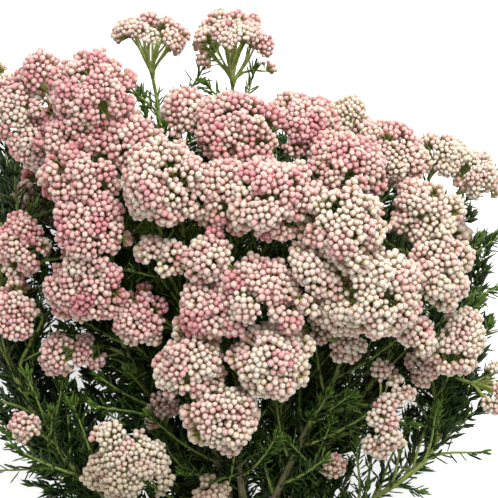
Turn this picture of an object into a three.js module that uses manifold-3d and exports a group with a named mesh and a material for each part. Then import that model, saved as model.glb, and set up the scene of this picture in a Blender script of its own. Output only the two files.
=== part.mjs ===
// A cut stem of pink ozothamnus, or rice flower, lying on a table.
// One woody stem divides into limbs, clothed in needle leaves, and every twig ends in a flower
// head: a domed cluster of round buds. Millimetres, +Z up, +Y towards the flowering end.
import * as THREE from 'three';
import { mergeVertices } from 'three/addons/utils/BufferGeometryUtils.js';
import Module from 'manifold-3d';

const wasm = await Module();
wasm.setup();

// Driving dimensions

const CUT_END_Y = -430; // where the stem was cut, measured from the middle of the flowers
const STEM_RADIUS = 5.6; // at the cut
const FORK_RADIUS = 3.4; // where the stem ends in its last limbs
const LIMB_RADIUS = 2.1;
const LIMB_TIP_RADIUS = 1.2;
const TWIG_RADIUS = 1.3;
const TWIG_TIP_RADIUS = 0.95;
const STUB_LENGTH = 34; // woody foot of each limb that belongs to the main stem
const LEAF_LENGTH = 13;
const LEAF_FOOT = 1.5; // length of the foot of a leaf along its twig
const LEAF_LEAN = THREE.MathUtils.degToRad(50); // away from the twig
const WHORL_SPACING = { limb: 17, shoot: 12, stalk: 24 }; // between whorls of leaves
const FIRST_WHORL = 8; // from the root of a twig to its first leaves
const JOINT_GAP = 0.3; // between two pieces that meet face to face
const CLEARANCE = 0.4; // between two pieces that pass each other
const DOME_ANGLE = THREE.MathUtils.degToRad(97); // from the top of a head to its rim
const DOME_FLATNESS = 0.76; // height of the dome over its radius
const BUD_RISE = 0.075; // how far the buds stand out, as a share of the head's radius
const DOME_REACH = 1.08; // of the highest bud, over the head's radius
const HEAD_DEPTH = 0.78; // from the dome's middle to the foot of the head, over its radius
const FOOT_RADIUS = 2.6; // the small flat under a head where its twig ends
const STEEPEST_FORK = THREE.MathUtils.degToRad(48);
const TABLE_OFFSET = [4, 149, 0]; // moves the model so that it lies over the origin
const COLOURS = { bark: 0x6b5a43, leaf: 0x3f5f2a, bud: 0xd9a6a3 };

const vec = (v) => new THREE.Vector3(v[0], v[1], v[2]);

// Random numbers that are the same in each run.
function seeded(seed) {
  let state = seed >>> 0;
  return () => {
    state = (state + 0x6d2b79f5) >>> 0;
    let t = Math.imul(state ^ (state >>> 15), 1 | state);
    t = (t + Math.imul(t ^ (t >>> 7), 61 | t)) ^ t;
    return ((t ^ (t >>> 14)) >>> 0) / 4294967296;
  };
}

// Where everything grows. A dome is [x, y, z, radius]. Heads of several domes have grown together.

const STEM_POINTS = [
  [14, CUT_END_Y, 4.9],
  [10, -380, 9],
  [4, -320, 24],
  [1, -250, 46],
  [0, -190, 62],
  [0, -150, 72],
];

// A limb: its name, the y at which it leaves the stem, the head at its end, and where it passes.
const limb = (name, from, headAtEnd, ...via) => ({ name, from, head: headAtEnd, via });

const LIMBS = [
  limb('left_low', -226, 'edge_left', [-58, -162, 78], [-104, -116, 88], [-134, -62, 86], [-138, -10, 84]),
  limb('left_mid', -200, 'upper_left', [-40, -112, 84], [-74, -40, 96]),
  limb('left_up', -186, 'top_left', [-22, -90, 74], [-50, 10, 80]),
  limb('centre_up', -168, 'top_middle', [-6, -80, 86], [-10, 20, 88]),
  limb('right_up', -176, 'back_right', [22, -86, 78], [46, 0, 84]),
  limb('right_mid', -194, 'edge_right', [46, -108, 78], [90, -40, 84]),
  limb('right_low', -214, 'bottom_edge_right', [56, -152, 76], [104, -112, 80]),
  limb('front_left', -182, 'front_upper_left', [-18, -116, 98], [-34, -60, 112]),
  limb('front_mid', -160, 'front_middle', [-6, -112, 104], [-2, -60, 118]),
  limb('front_right', -172, 'front_right', [30, -104, 100], [52, -56, 108]),
  limb('under_left', -206, 'under_top_left', [-26, -120, 48], [-54, -20, 52]),
  limb('under_right', -190, 'under_top_right', [30, -112, 46], [52, -16, 52]),
];

// A flower head: its name, the limb that bears it, the way it faces, and its domes.
const head = (name, limb, faces, ...domes) => ({ name, limb, faces, domes });

const HEADS = [
  head('top_left', 'left_up', [-0.15, 0.93, 0.33], [-57, 115, 92, 23], [-54, 105, 100, 13]),
  head('top_middle', 'centre_up', [0.05, 0.93, 0.35], [-8, 112, 90, 25], [6, 98, 88, 9], [16, 95, 84, 8]),
  head(
    'crown_left', 'left_up', [-0.3, 0.6, 0.74],
    [-86, 84, 133, 28], [-97, 60, 128, 18], [-116, 95, 120, 13],
  ),
  head(
    'edge_left', 'left_low', [-0.6, 0.5, 0.62],
    [-128, 78, 108, 22], [-142, 84, 100, 17], [-118, 55, 112, 15],
  ),
  head('upper_left', 'left_mid', [-0.35, 0.4, 0.85], [-91, 39, 140, 23]),
  head('front_upper_left', 'front_left', [-0.2, 0.32, 0.92], [-46, 33, 160, 26], [-63, 57, 142, 18]),
  head('crown_middle', 'centre_up', [-0.04, 0.68, 0.73], [-6, 62, 140, 24], [-34, 74, 122, 17]),
  head('crown_right', 'right_up', [0.12, 0.75, 0.65], [30, 69, 124, 22]),
  head('back_right', 'right_up', [0.2, 0.92, 0.33], [56, 72, 96, 15]),
  head('upper_right', 'right_up', [0.2, 0.55, 0.81], [51, 45, 142, 23]),
  head('shoulder_right', 'right_mid', [0.38, 0.7, 0.6], [80, 52, 116, 21]),
  head('edge_upper_right', 'right_mid', [0.45, 0.8, 0.4], [107, 51, 96, 16]),
  head('edge_right', 'right_mid', [0.68, 0.62, 0.38], [127, 40, 84, 17]),
  head('front_middle', 'front_mid', [0.03, 0.42, 0.91], [12, 27, 165, 26], [-15, 29, 158, 19]),
  head('front_right', 'front_right', [0.22, 0.3, 0.93], [52, 10, 165, 28], [36, -10, 163, 19]),
  head(
    'front_lower_right', 'front_right', [0.32, -0.02, 0.95],
    [70, -24, 163, 26], [48, -32, 152, 17], [90, -47, 144, 13],
  ),
  head('right_upper', 'right_mid', [0.42, 0.4, 0.81], [95, 20, 136, 22]),
  head('right_middle', 'right_mid', [0.6, 0.1, 0.79], [101, -12, 142, 24]),
  head('right_lower', 'right_low', [0.55, -0.2, 0.81], [112, -51, 120, 18], [98, -63, 108, 12]),
  head('centre', 'front_mid', [0, 0.1, 0.99], [7, -24, 160, 24], [-20, -5, 162, 15], [-22, -34, 156, 18]),
  head('centre_low', 'front_mid', [0.12, -0.12, 0.98], [10, -59, 154, 25]),
  head('centre_left', 'front_left', [-0.2, -0.1, 0.97], [-32, -63, 150, 20]),
  head('centre_bottom', 'front_mid', [-0.05, -0.32, 0.95], [-13, -91, 148, 21]),
  head('sprig_left', 'front_left', [-0.25, 0.3, 0.92], [-52, -3, 150, 10], [-41, -3, 152, 9]),
  head('left_middle', 'left_mid', [-0.4, 0.15, 0.9], [-86, 11, 145, 22]),
  head('left_edge_middle', 'left_low', [-0.7, 0.15, 0.7], [-123, 3, 114, 19]),
  head('left_lower', 'left_mid', [-0.4, -0.05, 0.92], [-87, -19, 137, 23]),
  head('left_edge_lower', 'left_low', [-0.75, 0, 0.66], [-128, -36, 112, 18]),
  head('inner_left', 'front_left', [-0.3, -0.1, 0.95], [-59, -36, 130, 17]),
  head('sparse_left', 'left_mid', [-0.4, -0.2, 0.89], [-88, -56, 110, 12], [-104, -57, 112, 13]),
  head('bottom_left', 'left_mid', [-0.32, -0.3, 0.9], [-64, -120, 124, 28]),
  head('deep_left', 'left_mid', [-0.2, 0.2, 0.96], [-46, -89, 101, 12]),
  head(
    'column_right', 'front_right', [0.35, -0.35, 0.87],
    [73, -91, 122, 12], [73, -104, 116, 13], [81, -78, 124, 10], [72, -68, 122, 8],
  ),
  head('inner_right', 'front_right', [0.15, -0.3, 0.94], [52, -53, 132, 11], [37, -42, 128, 13]),
  head('small_left', 'left_low', [-0.5, 0.3, 0.8], [-122, -98, 110, 10]),
  head('bottom_edge_right', 'right_low', [0.8, -0.1, 0.6], [138, -77, 86, 18]),
  head('small_right', 'right_low', [0.3, -0.2, 0.93], [46, -121, 98, 9]),
  head('bottom_middle', 'front_mid', [0, -0.3, 0.95], [-20, -133, 122, 12]),
  head('under_edge_left', 'under_left', [-0.75, 0.3, -0.45], [-112, 34, 54, 25]),
  head('under_top_left', 'under_left', [-0.5, 0.8, -0.3], [-84, 70, 58, 24]),
  head('under_top_middle', 'under_right', [0, 0.8, -0.5], [-6, 62, 48, 24]),
  head('under_top_right', 'under_right', [0.45, 0.8, -0.3], [58, 58, 58, 23]),
  head('under_edge_right', 'under_right', [0.85, 0.2, -0.4], [106, 8, 50, 24]),
  head('under_upper_left', 'under_left', [-0.2, 0.25, -0.95], [-62, 52, 19, 26]),
  head('under_upper_right', 'under_right', [0.15, 0.2, -0.96], [46, 40, 19, 26]),
  head('under_lower_left', 'under_left', [-0.1, -0.1, -0.99], [-34, -22, 17, 23]),
  head('under_lower_right', 'under_right', [0.12, -0.1, -0.98], [34, -32, 16.5, 22]),
];

// Twigs that bear leaves only, by the limb they grow from: where they end.
const SHOOTS = {
  left_low: [
    [-152, -30, 96], [-146, -82, 104], [-140, -124, 84], [-103, -72, 106], [-96, -100, 70],
    [-152, 36, 76], [-66, -140, 94], [-118, -44, 78],
  ],
  left_mid: [
    [-84, -86, 118], [-66, -68, 114], [-82, 26, 96], [-48, -110, 76], [-84, -58, 84],
  ],
  left_up: [
    [-72, 92, 88], [-58, -70, 92],
  ],
  centre_up: [
    [-24, 92, 82], [12, 76, 88],
  ],
  right_mid: [
    [140, 8, 98], [140, -22, 86], [78, -46, 100], [150, 14, 72], [84, -72, 90], [70, -98, 74],
  ],
  right_low: [
    [134, -44, 86], [130, -113, 92], [96, -136, 78], [66, -134, 84], [104, -88, 104],
    [60, -108, 96], [122, -94, 72], [84, -112, 96],
  ],
  front_left: [
    [-48, -16, 132], [-36, -122, 122],
  ],
  front_mid: [
    [20, -3, 138], [14, -108, 120],
  ],
  front_right: [
    [34, -92, 112], [56, -84, 112],
  ],
  right_up: [
    [34, -62, 96], [24, -96, 84],
  ],
  under_left: [
    [-64, -100, 42], [-98, -52, 48],
  ],
  under_right: [
    [66, -92, 42], [92, -46, 46],
  ],
};

// Solids: three.js geometry made into manifold-3d solids, to be joined and cut

function solidOf(geometry) {
  const bare = geometry.clone();
  bare.deleteAttribute('normal');
  bare.deleteAttribute('uv');
  const merged = mergeVertices(bare, 1e-4);
  return new wasm.Manifold(new wasm.Mesh({
    numProp: 3,
    vertProperties: new Float32Array(merged.attributes.position.array),
    triVerts: new Uint32Array(merged.index.array),
  }));
}

function geometryOf(solid) {
  const mesh = solid.getMesh();
  const geometry = new THREE.BufferGeometry();
  geometry.setAttribute('position', new THREE.BufferAttribute(mesh.vertProperties, 3));
  geometry.setIndex(new THREE.BufferAttribute(mesh.triVerts, 1));
  return geometry;
}

// A closed surface from a list of points and a list of faces, three point numbers to a face.
function surfaceOf(points, faces) {
  const surface = new THREE.BufferGeometry();
  const flat = points.flatMap((p) => p.toArray());
  surface.setAttribute('position', new THREE.BufferAttribute(new Float32Array(flat), 3));
  surface.setIndex(faces);
  return surface;
}

const joined = (solids) => wasm.Manifold.union(solids);

// The largest body of a solid: what a cut leaves loose is dropped.
function largestBody(solid) {
  return solid.decompose().sort((a, b) => b.volume() - a.volume())[0];
}

// A block that fills the space past a plane, on the side its normal points to.
function beyond(point, normal) {
  const side = 900;
  const block = new THREE.BoxGeometry(side, side, side);
  const turn = new THREE.Quaternion().setFromUnitVectors(new THREE.Vector3(0, 0, 1), normal);
  block.applyQuaternion(turn);
  block.translate(...point.clone().addScaledVector(normal, side / 2).toArray());
  return solidOf(block);
}

// The middle of a curve at a share of its length, with three directions: along it and two across.
const FRAMES = 100;
function placeOn(curve, share) {
  curve.frames ??= curve.computeFrenetFrames(FRAMES, false);
  const at = Math.round(THREE.MathUtils.clamp(share, 0, 1) * FRAMES);
  return {
    point: curve.getPointAt(share),
    along: curve.getTangentAt(share),
    side: curve.frames.normals[at],
    back: curve.frames.binormals[at],
  };
}

function acrossAt(place, angle) {
  return place.side.clone().multiplyScalar(Math.cos(angle)).addScaledVector(place.back, Math.sin(angle));
}

// A tapering tube: a cylinder whose rings are carried along the curve.
function taperedTube(curve, rootRadius, tipRadius, sides, steps, from = 0, to = 1) {
  const tube = new THREE.CylinderGeometry(1, 1, 1, sides, steps);
  const position = tube.attributes.position;
  for (let i = 0; i < position.count; i++) {
    const share = position.getY(i) + 0.5;
    const place = placeOn(curve, from + (to - from) * share);
    const radius = THREE.MathUtils.lerp(rootRadius, tipRadius, share);
    const p = place.point
      .addScaledVector(place.side, position.getX(i) * radius)
      .addScaledVector(place.back, -position.getZ(i) * radius);
    position.setXYZ(i, p.x, p.y, p.z);
  }
  return solidOf(tube);
}

// Flower heads

HEADS.forEach((head) => { head.way = vec(head.faces).normalize(); });

const footOf = (head) => {
  const [x, y, z, radius] = head.domes[0];
  return new THREE.Vector3(x, y, z).addScaledVector(head.way, -(HEAD_DEPTH * radius + JOINT_GAP));
};

// How many rings of the lattice a dome needs, so that its buds are all about the same size.
function ringsFor(radius) {
  if (radius > 25.5) return 4;
  return radius > 12.5 ? 3 : 2;
}

// One dome. Its skin is a triangular lattice bent over a ball, with each third point raised as
// the top of a bud and the points between them lowered. A cone closes it to the foot.
function domeSurface(radius, random) {
  const n = ringsFor(radius);
  const points = [];
  const index = new Map();
  for (let q = -n; q <= n; q++) {
    for (let r = -n; r <= n; r++) {
      const ring = Math.max(Math.abs(q), Math.abs(r), Math.abs(q + r));
      if (ring > n) continue;
      const around = Math.atan2(r * Math.sqrt(3) / 2, q + r / 2);
      const lean = DOME_ANGLE * ring / n;
      const raised = ((q - r) % 3 + 3) % 3 === 0;
      const rise = raised ? BUD_RISE * (0.6 + 0.5 * random()) : -BUD_RISE * (0.5 + 0.4 * random());
      const reach = radius * (1 + rise);
      index.set(`${q},${r}`, points.length);
      points.push(new THREE.Vector3(
        reach * Math.sin(lean) * Math.cos(around),
        reach * Math.sin(lean) * Math.sin(around),
        reach * Math.cos(lean) * DOME_FLATNESS,
      ));
    }
  }
  const faces = [];
  for (const [key, here] of index) {
    const [q, r] = key.split(',').map(Number);
    const right = index.get(`${q + 1},${r}`);
    const up = index.get(`${q},${r + 1}`);
    const down = index.get(`${q + 1},${r - 1}`);
    if (right !== undefined && up !== undefined) faces.push(here, right, up);
    if (right !== undefined && down !== undefined) faces.push(here, down, right);
  }
  const foot = points.length;
  for (let s = 0; s < 6; s++) {
    const angle = (s + 0.5) * Math.PI / 3;
    const corner = new THREE.Vector3(Math.cos(angle), Math.sin(angle), 0).multiplyScalar(FOOT_RADIUS);
    points.push(corner.setZ(-HEAD_DEPTH * radius));
  }
  const corners = [[1, 0], [0, 1], [-1, 1], [-1, 0], [0, -1], [1, -1]];
  for (let s = 0; s < 6; s++) {
    const [a, b] = [corners[s], corners[(s + 1) % 6]];
    const rim = (k) => index.get(`${a[0] * (n - k) + b[0] * k},${a[1] * (n - k) + b[1] * k}`);
    for (let k = 0; k < n; k++) faces.push(rim(k + 1), rim(k), foot + s);
    faces.push(rim(n), foot + s, foot + (s + 1) % 6);
  }
  for (let s = 1; s < 5; s++) faces.push(foot, foot + s + 1, foot + s);
  return surfaceOf(points, faces);
}

function placedDome(dome, way, random) {
  const surface = domeSurface(dome[3], random);
  surface.rotateZ(random() * Math.PI * 2);
  surface.applyQuaternion(new THREE.Quaternion().setFromUnitVectors(new THREE.Vector3(0, 0, 1), way));
  surface.translate(dome[0], dome[1], dome[2]);
  return solidOf(surface);
}

// Where two domes of different heads would meet, each is cut back to its side of the plane
// between them, as heads that grow against each other are.
function cutBack(solid, dome, head) {
  let left = solid;
  for (const other of HEADS) {
    if (other === head) continue;
    for (const next of other.domes) {
      const way = vec(next).sub(vec(dome));
      const apart = way.length();
      if (apart > (dome[3] + next[3]) * DOME_REACH + JOINT_GAP) continue;
      const share = apart * dome[3] / (dome[3] + next[3]) - JOINT_GAP / 2;
      way.normalize();
      left = left.subtract(beyond(vec(dome).addScaledVector(way, share), way));
    }
  }
  return left;
}

// Whether a point lies in a head, or within some room of it.
function headHolds(head, point, room) {
  return head.domes.some((dome) => {
    const offset = point.clone().sub(vec(dome));
    const height = offset.dot(head.way);
    const reach = dome[3] * DOME_REACH + room;
    const across = Math.sqrt(Math.max(0, offset.lengthSq() - height * height));
    if (height > 0) return Math.hypot(across, height / DOME_FLATNESS) < reach;
    return across < reach * (1 + height / (HEAD_DEPTH * dome[3] + room)) + 1;
  });
}

// Stem, limbs and twigs

const stemCurve = new THREE.CatmullRomCurve3(STEM_POINTS.map(vec));

// The share of the stem's length at which it reaches a given y.
function stemShareAt(y) {
  let low = 0;
  let high = 1;
  for (let i = 0; i < 30; i++) {
    const middle = (low + high) / 2;
    if (stemCurve.getPointAt(middle).y < y) low = middle;
    else high = middle;
  }
  return low;
}

// A twig leaves its limb halfway between the limb's own way and the way to its tip, and ends
// along the way its head faces.
function twigCurve(from, along, to, way) {
  const length = from.distanceTo(to);
  const leaving = to.clone().sub(from).normalize().add(along).normalize();
  return new THREE.CubicBezierCurve3(
    from,
    from.clone().addScaledVector(leaving, length * 0.36),
    to.clone().addScaledVector(way, -length * 0.34),
    to,
  );
}

// The fork nearest to the tip from which the twig still leaves its limb at a gentle angle.
function forkShare(curve, tip, lowest) {
  let best = { share: lowest, cost: Infinity };
  for (let share = lowest; share < 0.93; share += 0.01) {
    const reach = tip.clone().sub(curve.getPointAt(share));
    const angle = reach.angleTo(curve.getTangentAt(share));
    const cost = reach.length() + Math.max(0, angle - STEEPEST_FORK) * 400;
    if (cost < best.cost) best = { share, cost };
  }
  return best.share;
}

for (const limb of LIMBS) {
  const end = HEADS.find((h) => h.name === limb.head);
  const start = stemCurve.getPointAt(stemShareAt(limb.from));
  const foot = footOf(end);
  const last = foot.clone().addScaledVector(end.way, -24);
  limb.curve = new THREE.CatmullRomCurve3([start, ...limb.via.map(vec), last, foot], false, 'centripetal');
  limb.twigs = [];
  const lowest = (STUB_LENGTH + FIRST_WHORL) / limb.curve.getLength();
  const grow = (tip, way) => {
    const share = forkShare(limb.curve, tip, lowest);
    const root = limb.curve.getPointAt(share);
    const facing = way ?? tip.clone().sub(root).normalize();
    const twig = twigCurve(root, limb.curve.getTangentAt(share), tip, facing);
    twig.spacing = way ? WHORL_SPACING.stalk : WHORL_SPACING.shoot;
    limb.twigs.push(twig);
  };
  HEADS.filter((h) => h.limb === limb.name && h !== end).forEach((h) => grow(footOf(h), h.way));
  (SHOOTS[limb.name] ?? []).forEach((tip) => grow(vec(tip)));
}

// Leaves

// The least distance between two straight stretches, each given by its ends.
function stretchDistance(a, b, c, d) {
  const u = b.clone().sub(a);
  const v = d.clone().sub(c);
  const w = a.clone().sub(c);
  const [uu, uv, vv, uw, vw] = [u.dot(u), u.dot(v), v.dot(v), u.dot(w), v.dot(w)];
  const across = uu * vv - uv * uv;
  let s = across < 1e-9 ? 0 : THREE.MathUtils.clamp((uv * vw - vv * uw) / across, 0, 1);
  const t = THREE.MathUtils.clamp((uv * s + vw) / vv, 0, 1);
  s = THREE.MathUtils.clamp((uv * t - uw) / uu, 0, 1);
  return a.clone().addScaledVector(u, s).distanceTo(c.clone().addScaledVector(v, t));
}

const woodStretches = [];
const leafStretches = [];

function addStretches(curve, radius, owner, steps) {
  const points = curve.getSpacedPoints(steps);
  for (let i = 0; i < steps; i++) {
    woodStretches.push({ a: points[i], b: points[i + 1], radius, owner, curve });
  }
}
addStretches(stemCurve, STEM_RADIUS, 'stem', 24);
for (const limb of LIMBS) {
  addStretches(limb.curve, LIMB_RADIUS, limb.name, 16);
  limb.twigs.forEach((twig) => addStretches(twig, TWIG_RADIUS, limb.name, 8));
}

// A leaf is left out where it would touch a head, the table, or other wood or leaves.
function leafIsClear(root, tip, owner, curve) {
  if (tip.z < 1) return false;
  const samples = [0, 0.17, 0.33, 0.5, 0.67, 0.83, 1].map((t) => root.clone().lerp(tip, t));
  if (HEADS.some((head) => samples.some((p) => headHolds(head, p, CLEARANCE + 0.8)))) return false;
  for (const wood of woodStretches) {
    if (wood.curve === curve || wood.a.distanceTo(root) > 60) continue;
    if (stretchDistance(root, tip, wood.a, wood.b) < wood.radius + CLEARANCE + 0.6) return false;
  }
  for (const leaf of leafStretches) {
    const room = leaf.owner === owner ? 1.6 : 1.9;
    if (leaf.a.distanceTo(root) > LEAF_LENGTH * 2.4) continue;
    if (stretchDistance(root, tip, leaf.a, leaf.b) < room) return false;
  }
  return true;
}

// A leafy twig: a three-sided skin whose rings are each turned half a side against the last, so
// that it is all triangles. Every other pair of rings lies close together, and the triangles
// between them are drawn out to needle leaves, six in a whorl.
function leafyTwig(curve, rootRadius, tipRadius, spacing, owner, random, start = 0) {
  const length = curve.getLength();
  const stations = [start];
  for (let at = start + FIRST_WHORL; at < length - 3; at += spacing * (0.88 + 0.24 * random())) {
    stations.push(at, at + LEAF_FOOT);
  }
  stations.push(length);
  const points = [];
  stations.forEach((at, number) => {
    const place = placeOn(curve, at / length);
    const radius = THREE.MathUtils.lerp(rootRadius, tipRadius, at / length);
    for (let corner = 0; corner < 3; corner++) {
      const angle = (number + 2 * corner) * Math.PI / 3;
      points.push(place.point.clone().addScaledVector(acrossAt(place, angle), radius));
    }
  });
  const faces = [0, 2, 1];
  const last = points.length - 3;
  for (let low = 0; low < last; low += 3) {
    const high = low + 3;
    const isWhorl = (low / 3) % 2 === 1;
    const share = stations[low / 3] / length;
    for (let corner = 0; corner < 3; corner++) {
      const next = (corner + 1) % 3;
      const upwards = [low + corner, low + next, high + corner];
      const downwards = [high + corner, low + next, high + next];
      for (const foot of [upwards, downwards]) {
        const leaf = isWhorl && leafFrom(curve, share, foot.map((i) => points[i]), owner, random);
        if (leaf) {
          const tip = points.push(leaf) - 1;
          foot.forEach((a, i) => faces.push(a, foot[(i + 1) % 3], tip));
        } else {
          faces.push(...foot);
        }
      }
    }
  }
  faces.push(last, last + 1, last + 2);
  return solidOf(surfaceOf(points, faces));
}

// The tip of the leaf that grows from a foot, or nothing where there is no room for one.
function leafFrom(curve, share, foot, owner, random) {
  const place = placeOn(curve, share);
  const middle = new THREE.Vector3();
  foot.forEach((corner) => middle.addScaledVector(corner, 1 / 3));
  const out = middle.clone().sub(place.point);
  out.addScaledVector(place.along, -out.dot(place.along)).normalize();
  out.applyAxisAngle(place.along, (random() - 0.5) * 0.5);
  const lean = LEAF_LEAN * (0.8 + 0.4 * random());
  const way = place.along.clone().multiplyScalar(Math.cos(lean)).addScaledVector(out, Math.sin(lean));
  const tip = middle.clone().addScaledVector(way, LEAF_LENGTH * (0.8 + 0.4 * random()));
  const clearOfFoot = middle.clone().addScaledVector(way, 1.5);
  if (!leafIsClear(clearOfFoot, tip, owner, curve)) return null;
  leafStretches.push({ a: clearOfFoot, b: tip, owner });
  return tip;
}

// Pieces

function meshOf(name, solid, colour, roughness) {
  const material = new THREE.MeshStandardMaterial({ color: colour, roughness, metalness: 0 });
  const mesh = new THREE.Mesh(geometryOf(solid), material);
  mesh.name = name;
  return mesh;
}

const belowTable = beyond(new THREE.Vector3(0, 0, 0), new THREE.Vector3(0, 0, -1));
const model = new THREE.Group();
model.position.set(...TABLE_OFFSET);

// The main stem with the woody foot of each limb.
function mainStem() {
  const wood = [taperedTube(stemCurve, STEM_RADIUS, FORK_RADIUS, 8, 6)];
  for (const limb of LIMBS) {
    const end = STUB_LENGTH / limb.curve.getLength();
    wood.push(taperedTube(limb.curve, LIMB_RADIUS * 1.3, LIMB_RADIUS * 1.1, 4, 1, 0, end));
  }
  return joined(wood).subtract(belowTable);
}
model.add(meshOf('main_stem', mainStem(), COLOURS.bark, 0.9));

// A leafy branch: one limb, its twigs and their leaves.
LIMBS.forEach((limb, number) => {
  const random = seeded(100 + number);
  const start = STUB_LENGTH + JOINT_GAP;
  const wood = [
    leafyTwig(limb.curve, LIMB_RADIUS, LIMB_TIP_RADIUS, WHORL_SPACING.limb, limb.name, random, start),
  ];
  for (const twig of limb.twigs) {
    wood.push(leafyTwig(twig, TWIG_RADIUS, TWIG_TIP_RADIUS, twig.spacing, limb.name, random));
  }
  const solid = largestBody(joined(wood));
  model.add(meshOf(`leafy_branch_${limb.name}`, solid, COLOURS.leaf, 0.7));
});

// The room that limbs and twigs need where they pass a head.
const passingWood = joined(LIMBS.flatMap((limb) => [
  taperedTube(limb.curve, LIMB_RADIUS + CLEARANCE, LIMB_TIP_RADIUS + CLEARANCE, 6, 14),
  ...limb.twigs.map((t) => taperedTube(t, TWIG_RADIUS + CLEARANCE, TWIG_TIP_RADIUS + CLEARANCE, 6, 6)),
]));

// The flower heads, cut clear of each other, of the wood that passes them, and of the table.
HEADS.forEach((head, number) => {
  const random = seeded(500 + number);
  const domes = head.domes.map((dome) => cutBack(placedDome(dome, head.way, random), dome, head));
  const solid = largestBody(joined(domes).subtract(passingWood).subtract(belowTable));
  model.add(meshOf(`flower_head_${head.name}`, solid, COLOURS.bud, 0.65));
});

export default model;
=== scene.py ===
"""A cut stem of pink ozothamnus, or rice flower, lying on a pale table, seen from straight above.

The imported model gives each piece's place. Tables of places are in millimetres, and all else is in
metres. The flowering end points along +Y, and the side that shows its flowers faces up.
"""
import math

import bpy
import numpy as np
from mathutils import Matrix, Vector


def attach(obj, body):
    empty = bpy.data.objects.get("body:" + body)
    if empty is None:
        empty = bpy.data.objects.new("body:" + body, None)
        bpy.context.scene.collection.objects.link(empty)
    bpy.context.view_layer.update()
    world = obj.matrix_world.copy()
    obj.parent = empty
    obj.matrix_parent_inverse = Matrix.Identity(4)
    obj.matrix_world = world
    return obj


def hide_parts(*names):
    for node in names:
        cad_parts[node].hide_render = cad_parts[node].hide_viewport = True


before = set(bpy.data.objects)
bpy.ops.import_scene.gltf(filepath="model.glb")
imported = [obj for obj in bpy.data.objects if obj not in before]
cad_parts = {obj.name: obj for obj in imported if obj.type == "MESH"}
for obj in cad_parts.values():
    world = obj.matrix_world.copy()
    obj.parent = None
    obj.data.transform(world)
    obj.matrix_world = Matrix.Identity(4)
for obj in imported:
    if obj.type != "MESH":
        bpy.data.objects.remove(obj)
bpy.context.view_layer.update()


# Main stem. One woody shoot, brown and ridged, cut square at its lower end, with the scars of shed
# leaves. Its twelve limbs fork from it one after another, each with a swollen collar at its foot.

MM = 0.001
TABLE_OFFSET = np.array([4, 149, 0])  # from the tables' origin to the frame's
TINY = 1e-12  # keeps a way's length from being nought
STEM_POINTS = [(14, -430, 4.9), (10, -380, 9), (4, -320, 24), (1, -250, 46), (0, -190, 62), (0, -150, 72)]
STEM_RADIUS = 0.0056  # at the cut
FORK_RADIUS = 0.0034  # where the stem ends in its last limbs
STEM_SIDES, STEM_RINGS = 28, 190
RIDGES = ((5, 0.03), (9, 0.018))  # how many go round, and how high they are over the stem's radius
FIRST_SCAR, SCAR_STEP = 0.012, 0.0062  # from the cut, and from scar to scar
SCAR_LENGTH, SCAR_WIDTH = 0.0013, 0.3  # along the stem, and round it in radians
SCAR_HEIGHT = 0.07  # over the stem's radius
STUB_LENGTH = 0.034  # woody foot of a limb, which belongs to the main stem
STUB_RADIUS = (0.0027, 0.0022)
STUB_SIDES, STUB_RINGS = 12, 16
COLLAR_HEIGHT, COLLAR_LENGTH = 0.0014, 0.005
LAST_STRAIGHT = 0.024  # of a limb, before the foot of the head at its end
HEAD_DEPTH = 0.78  # from a dome's middle to the foot of its head, over the dome's radius
DOME_FLATNESS = 0.76  # height of a dome over its radius
GOLDEN_ANGLE = math.radians(137.508)

# A limb: the y at which it leaves the stem, the flower head at its end, and the points it passes.
LIMBS = {
    "left_low": (-226, "edge_left", [(-58, -162, 78), (-104, -116, 88), (-134, -62, 86), (-138, -10, 84)]),
    "left_mid": (-200, "upper_left", [(-40, -112, 84), (-74, -40, 96)]),
    "left_up": (-186, "top_left", [(-22, -90, 74), (-50, 10, 80)]),
    "centre_up": (-168, "top_middle", [(-6, -80, 86), (-10, 20, 88)]),
    "right_up": (-176, "back_right", [(22, -86, 78), (46, 0, 84)]),
    "right_mid": (-194, "edge_right", [(46, -108, 78), (90, -40, 84)]),
    "right_low": (-214, "bottom_edge_right", [(56, -152, 76), (104, -112, 80)]),
    "front_left": (-182, "front_upper_left", [(-18, -116, 98), (-34, -60, 112)]),
    "front_mid": (-160, "front_middle", [(-6, -112, 104), (-2, -60, 118)]),
    "front_right": (-172, "front_right", [(30, -104, 100), (52, -56, 108)]),
    "under_left": (-206, "under_top_left", [(-26, -120, 48), (-54, -20, 52)]),
    "under_right": (-190, "under_top_right", [(30, -112, 46), (52, -16, 52)]),
}
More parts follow.
